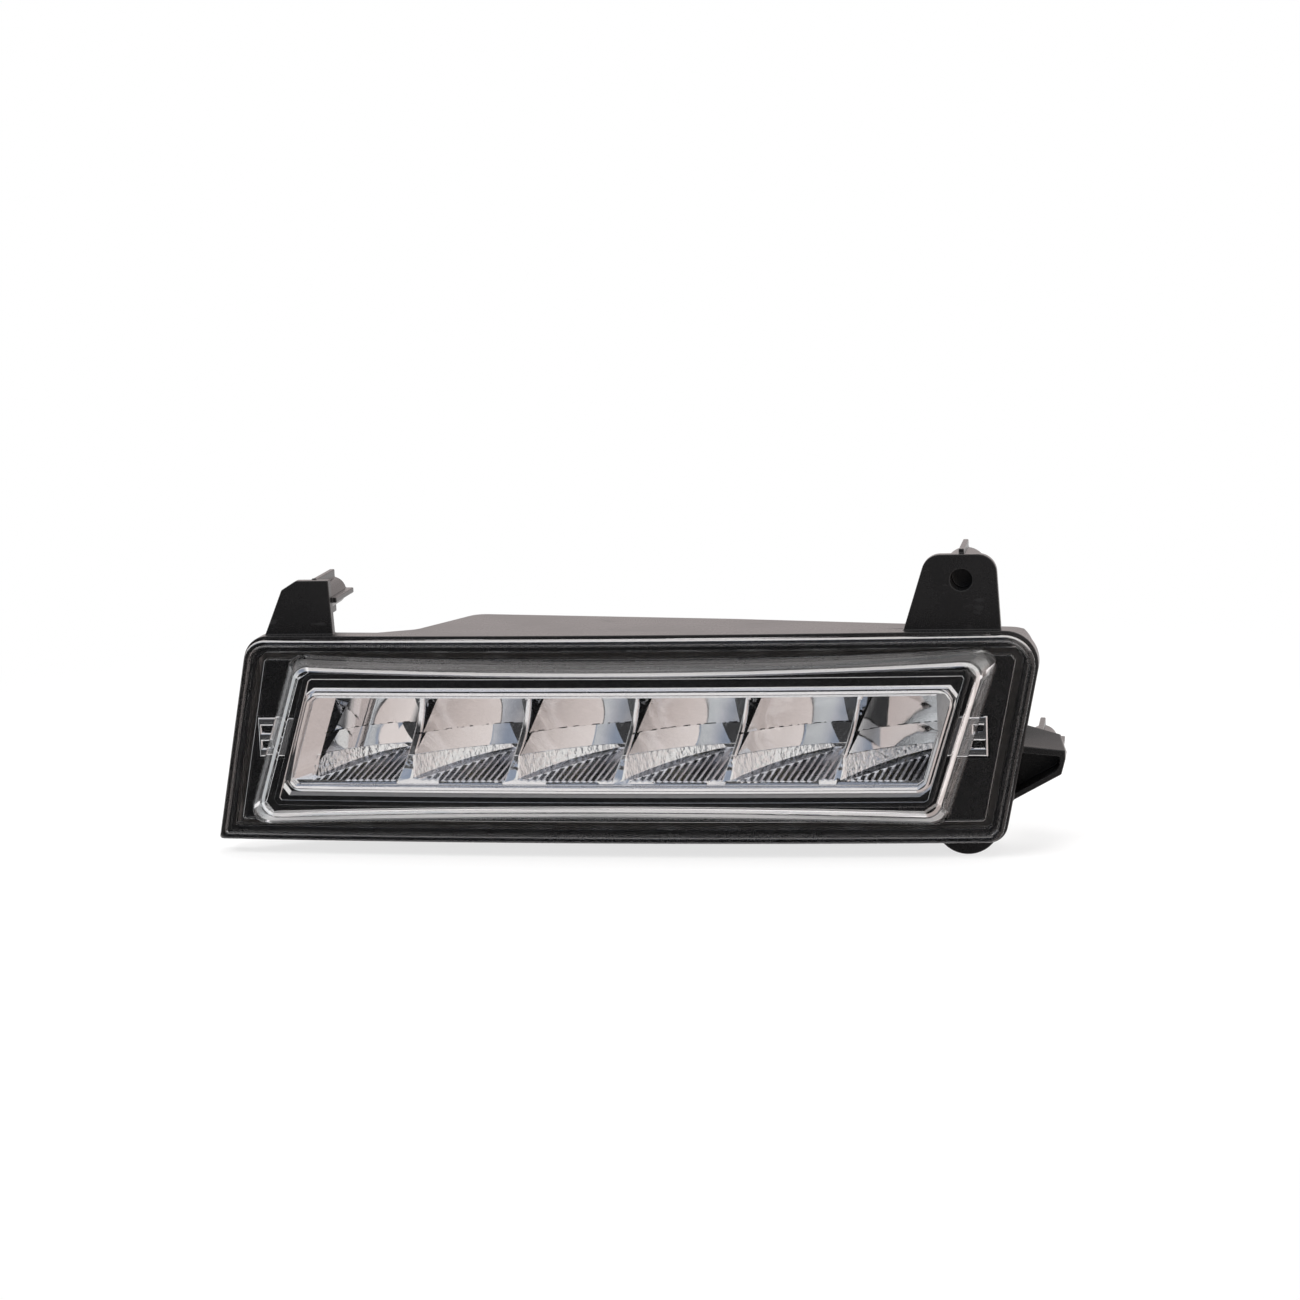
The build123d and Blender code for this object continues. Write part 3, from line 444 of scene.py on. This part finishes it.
def led_package():
    """White ceramic with a yellow phosphor pad below it."""
    look = Surface("led_ceramic_and_phosphor")
    low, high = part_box("led_1")
    pad = look.axis("Z") < low.z + PHOSPHOR_PAD * (high.z - low.z)
    grit = look.noise(0.2, 3)
    tone = look.blend(grit, (0.8, 0.8, 0.77, 1), (0.88, 0.88, 0.86, 1))
    phosphor = look.blend(grit, (0.82, 0.62, 0.08, 1), (0.9, 0.74, 0.16, 1))
    tone = look.blend(pad, tone, phosphor)
    rough = 0.35 + 0.2 * grit + 0.15 * pad
    return look.feed(colour=tone, roughness=rough, normal=look.relief(grit, 0.02, 0.5))


def tin_plate():
    look = Surface("tin_plate", metallic=1.0)
    lines = look.noise(0.3, 3, (1, 0.05, 1))
    clouds = look.noise(2, 3)
    tone = look.blend(clouds, (0.8, 0.79, 0.76, 1), (0.88, 0.87, 0.85, 1))
    return look.feed(colour=tone, roughness=0.2 + 0.2 * lines, normal=look.relief(lines, 0.015, 0.5))


def dress(names, look):
    """Gives the CAD nodes their finish."""
    for name in names:
        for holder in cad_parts[name].material_slots:
            holder.material = look.material


def behind_rim(corner):
    """How far behind the bowed front of the rim a corner lies, in millimetres."""
    offset = corner.co - RIM_MIDDLE
    return offset.y / MM - offset.x ** 2 / (2 * BOW_RADIUS * MM * MM)


def at_depth(depth):
    """A test for corners that lie at a depth behind the bowed front of the rim."""
    return lambda corner: abs(behind_rim(corner) - depth) < DEPTH_SLACK


def faces_ahead(way):
    return way.y < -0.99


def faces_aside(way):
    return abs(way.y) < 0.2


def roll_edges(shape, radius, where, front=faces_ahead, side=faces_aside, steps=4):
    """Breaks outward edges between front and side faces, where asked: round, or flat in one step."""
    edges = []
    for edge in shape.edges:
        if len(edge.link_faces) != 2 or not edge.is_convex or not all(where(corner) for corner in edge.verts):
            continue
        first, second = [face.normal for face in edge.link_faces]
        if (front(first) and side(second)) or (front(second) and side(first)):
            edges.append(edge)
    bmesh.ops.bevel(shape, geom=edges, offset=radius * MM, offset_type="OFFSET", affect="EDGES",
                    segments=steps, profile=0.5, material=-1, clamp_overlap=False)


def raise_lip(shape):
    """Sets a bead with a low ridge on the lip's front, so that it stands proud of the black frame."""
    on_lip = at_depth(LIP_FRONT)
    crown = [face for face in shape.faces
             if faces_ahead(face.normal) and all(on_lip(corner) for corner in face.verts)]
    bmesh.ops.inset_region(shape, faces=crown, thickness=LIP_LEDGE * MM, use_boundary=True,
                           use_even_offset=True)
    raised = bmesh.ops.extrude_face_region(shape, geom=crown)
    bmesh.ops.delete(shape, geom=crown, context="FACES")
    corners = [item for item in raised["geom"] if isinstance(item, bmesh.types.BMVert)]
    bmesh.ops.translate(shape, verts=corners, vec=(0, -LIP_RISE * MM, 0))
    crown = [item for item in raised["geom"] if isinstance(item, bmesh.types.BMFace)]
    bmesh.ops.inset_region(shape, faces=crown, thickness=RIDGE_WIDTH * MM, depth=RIDGE_RISE * MM,
                           use_boundary=True, use_even_offset=False)


def roll_bright_edges(shape):
    """Raises the lip's bead and rolls over the edges of the lip, the divider fronts and the end lugs."""
    lug_front = RIM_MIDDLE.y + LUG_FRONT * MM
    raise_lip(shape)
    roll_edges(shape, LEDGE_ROLL, at_depth(LIP_FRONT),
               front=lambda way: way.y < -0.9, side=lambda way: way.y > -0.5)
    roll_edges(shape, DIVIDER_ROLL, lambda corner: DIVIDER_NEAR < behind_rim(corner) < DIVIDER_FAR,
               front=lambda way: way.y < -0.85 and abs(way.x) < 0.02, side=lambda way: abs(way.x) > 0.3)
    roll_edges(shape, LUG_ROLL, lambda corner: abs(corner.co.y - lug_front) < DEPTH_SLACK * MM)


def roll_frame(shape):
    """Rolls over the black frame's front ring and slopes its inner step back into the window."""
    roll_edges(shape, RING_ROLL, at_depth(RING_FRONT), steps=5)
    roll_edges(shape, SLOPE_REACH, at_depth(FRAME_FRONT), steps=1)
    in_foot = at_depth(FRAME_FRONT + SLOPE_REACH)
    corners = [corner for corner in shape.verts if in_foot(corner)]
    bmesh.ops.translate(shape, verts=corners, vec=(0, (SLOPE_FALL - SLOPE_REACH) * MM, 0))


def roll_rim(shape):
    """Rolls over the edges of the bead round the lens's rim."""
    roll_edges(shape, RIM_ROLL, at_depth(0), steps=5)


def eased_copy(node, look, edge=0.0, crease=22.0, shaping=None):
    """A merged copy of a CAD node: bends under crease degrees are smooth, others are broken by edge mm."""
    shape = bmesh.new()
    shape.from_mesh(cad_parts[node].data)
    bmesh.ops.remove_doubles(shape, verts=shape.verts, dist=MERGE_REACH * MM)
    bmesh.ops.dissolve_limit(shape, angle_limit=math.radians(FLAT_BEND), verts=shape.verts, edges=shape.edges)
    if shaping:
        shaping(shape)
    mesh = bpy.data.meshes.new(node + "_finished")
    for face in shape.faces:
        face.smooth = True
        face.material_index = 0
    shape.to_mesh(mesh)
    shape.free()
    packed_normals = mesh.attributes.get("custom_normal")
    if packed_normals:
        mesh.attributes.remove(packed_normals)
    mesh.materials.append(look.material)
    piece = bpy.data.objects.new(node + "_finished", mesh)
    bpy.context.scene.collection.objects.link(piece)
    mesh.set_sharp_from_angle(angle=math.radians(crease))
    if edge:
        rounding = piece.modifiers.new("broken_edges", "BEVEL")
        rounding.width = edge * MM
        rounding.segments = 2
        rounding.limit_method = "ANGLE"
        rounding.angle_limit = math.radians(crease)
        rounding.use_clamp_overlap = False
        rounding.harden_normals = True
    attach(piece, "root")
    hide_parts(node)


def lay_floor():
    """A pale floor under the lamp that fades to white away from it and keeps the shadow."""
    low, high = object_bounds()
    spot = ((low.x + high.x) / 2, (low.y + high.y) / 2, low.z)
    shape = bmesh.new()
    bmesh.ops.create_grid(shape, x_segments=1, y_segments=1, size=FLOOR_HALF)
    bmesh.ops.translate(shape, verts=shape.verts, vec=spot)
    mesh = bpy.data.meshes.new("studio_floor")
    shape.to_mesh(mesh)
    shape.free()
    floor = bpy.data.objects.new("studio_floor", mesh)
    bpy.context.scene.collection.objects.link(floor)
    look = Surface("studio_floor", base_color=(0.9, 0.9, 0.9, 1), roughness=0.9)
    sockets = {0: look.place, 1: spot}
    away = look.node("ShaderNodeVectorMath", {"operation": "DISTANCE"}, sockets, output="Value")
    white = look.node("ShaderNodeEmission", None, {"Color": (1, 1, 1, 1), "Strength": 1.0})
    share = look.pictured() * (FLOOR_GLOW + (1 - FLOOR_GLOW) * away.eased(*FLOOR_FADE))
    surface = Value(look, look.shader.outputs["BSDF"])
    mixed = look.node("ShaderNodeMixShader", None, {0: share, 1: surface, 2: white})
    look.tree.links.new(mixed.socket, look.tree.nodes["Material Output"].inputs["Surface"])
    mesh.materials.append(look.material)
    floor.visible_glossy = False
    floor.visible_transmission = False


def set_sky():
    """White for the camera; the gloss sees a pale room with a dark bay in front and tinted walls round it.

    Turns are degrees to the right of straight ahead and lifts are degrees over the horizon.
    """
    world = bpy.data.worlds.new("studio_room")
    bpy.context.scene.world = world
    world.use_nodes = True
    sky = Finish(world.node_tree)
    way = sky.node("ShaderNodeTexCoord", output="Generated")
    side = sky.coordinate(way, "X")
    height = sky.coordinate(way, "Z")
    turn = side.math("ARCTAN2", side, 0 - sky.coordinate(way, "Y")) * math.degrees(1)
    lift = height.math("ARCSINE", height) * math.degrees(1)
    bay_left = (-62, -48)
    bay_right = (4, 13)
    bay_top = (8, 18)
    ahead = turn.within(bay_left, bay_right)
    right_wall = turn.within(bay_right, (75, 95))
    left_wall = turn.within((-110, -80), bay_left)
    back_wall = abs(turn).eased(105, 130) * lift.within((-8, 0), (35, 50))
    bay = ahead * lift.within((-34, -24), bay_top)
    dusk = ahead * lift.within(bay_top, (30, 38))
    warm = sky.blend(lift.eased(-25, 2), (0.7, 0.6, 0.57, 1), (0.95, 0.86, 0.83, 1))
    warm = sky.blend(lift.eased(4, 12), warm, (1, 0.98, 0.96, 1))
    tone = sky.blend(right_wall, (1, 0.965, 0.96, 1), warm)
    tone = sky.blend(left_wall, tone, (0.78, 0.8, 0.82, 1))
    tone = sky.blend(back_wall, tone, (1, 0.9, 0.885, 1))
    tone = sky.blend(dusk, tone, (0.35, 0.4, 0.5, 1))
    tone = sky.blend(bay, tone, (0.05, 0.05, 0.052, 1))
    tone = sky.blend(sky.ray("Camera"), tone, (1, 1, 1, 1))
    strength = ROOM_LIGHT + (1 - ROOM_LIGHT) * sky.pictured()
    light = world.node_tree.nodes["Background"]
    sky.tree.links.new(tone.socket, light.inputs["Color"])
    sky.tree.links.new(strength.socket, light.inputs["Strength"])


def hang_softbox(name, offset, size, power, tone=(1, 1, 1)):
    """A soft light at an offset in metres from the rim's middle, turned to it."""
    data = bpy.data.lights.new(name, "AREA")
    data.shape = "RECTANGLE"
    data.size, data.size_y = size
    data.energy = power
    data.color = tone
    lamp = bpy.data.objects.new(name, data)
    lamp.location = RIM_MIDDLE + Vector(offset)
    lamp.rotation_euler = (-Vector(offset)).to_track_quat("-Z", "Y").to_euler()
    lamp.visible_glossy = False
    lamp.visible_transmission = False
    bpy.context.scene.collection.objects.link(lamp)


def set_camera():
    """Camera at the photograph's angle, placed so that the aimed pixel shows the aimed point."""
    azimuth = math.radians(CAMERA_AZIMUTH)
    elevation = math.radians(CAMERA_ELEVATION)
    roll = math.radians(CAMERA_ROLL)
    back = Vector((math.sin(azimuth) * math.cos(elevation), -math.cos(azimuth) * math.cos(elevation),
                   math.sin(elevation)))
    level = Vector((0, 0, 1)).cross(back).normalized()
    upright = back.cross(level)
    right = level * math.cos(roll) + upright * math.sin(roll)
    up = upright * math.cos(roll) - level * math.sin(roll)
    focal = LENS_MM / SENSOR_MM * IMAGE_SIZE
    column, row = AIM_PIXEL
    across = (column - IMAGE_SIZE / 2) / focal
    above = (IMAGE_SIZE / 2 - row) / focal
    data = bpy.data.cameras.new("camera")
    data.lens = LENS_MM
    data.sensor_width = SENSOR_MM
    camera = bpy.data.objects.new("camera", data)
    place = AIM_POINT - CAMERA_DISTANCE * (across * right + above * up - back)
    camera.matrix_world = Matrix.Translation(place) @ Matrix((right, up, back)).transposed().to_4x4()
    bpy.context.scene.collection.objects.link(camera)
    bpy.context.scene.camera = camera


eased_copy("cover_lens", clear_polycarbonate(), edge=0.25, shaping=roll_rim)
eased_copy("rear_housing", satin_black(), edge=0.3)
eased_copy("reflector", metallised(), crease=9.0, shaping=roll_bright_edges)
eased_copy("inner_bezel", gloss_black(), shaping=roll_frame)
dress(["lens_seal"], sealing_compound())
dress(["vent_cap"], soft_rubber())
dress(["led_board"], solder_mask())
dress(["thermal_pad"], silicone_pad())
dress(["heat_sink"], extruded_aluminium())
dress(["board_screws"], zinc_plate())
chip_resin = filled_resin("black_chip_resin", (0.012, 0.012, 0.013, 1), (0.03, 0.03, 0.032, 1), 0.18)
dress(["driver_chip"], chip_resin)
ferrite = filled_resin("grey_ferrite", (0.03, 0.031, 0.033, 1), (0.075, 0.077, 0.08, 1), 0.35)
dress(["choke"], ferrite)
dress(["capacitor_1", "capacitor_2"], capacitor_resin())
dress([f"led_{index}" for index in range(1, 7)], led_package())
dress([f"terminal_{index}" for index in range(1, 4)], tin_plate())

lay_floor()
set_sky()
hang_softbox("key_softbox", (-0.55, -0.55, 0.85), (0.7, 0.5), 9.0)
hang_softbox("top_softbox", (0.15, 0.2, 1.0), (0.9, 0.5), 8.0)
hang_softbox("side_softbox", (0.85, -0.45, 0.35), (0.4, 0.6), 4.0, (1, 0.95, 0.92))
set_camera()
bpy.context.scene.view_settings.view_transform = "Standard"
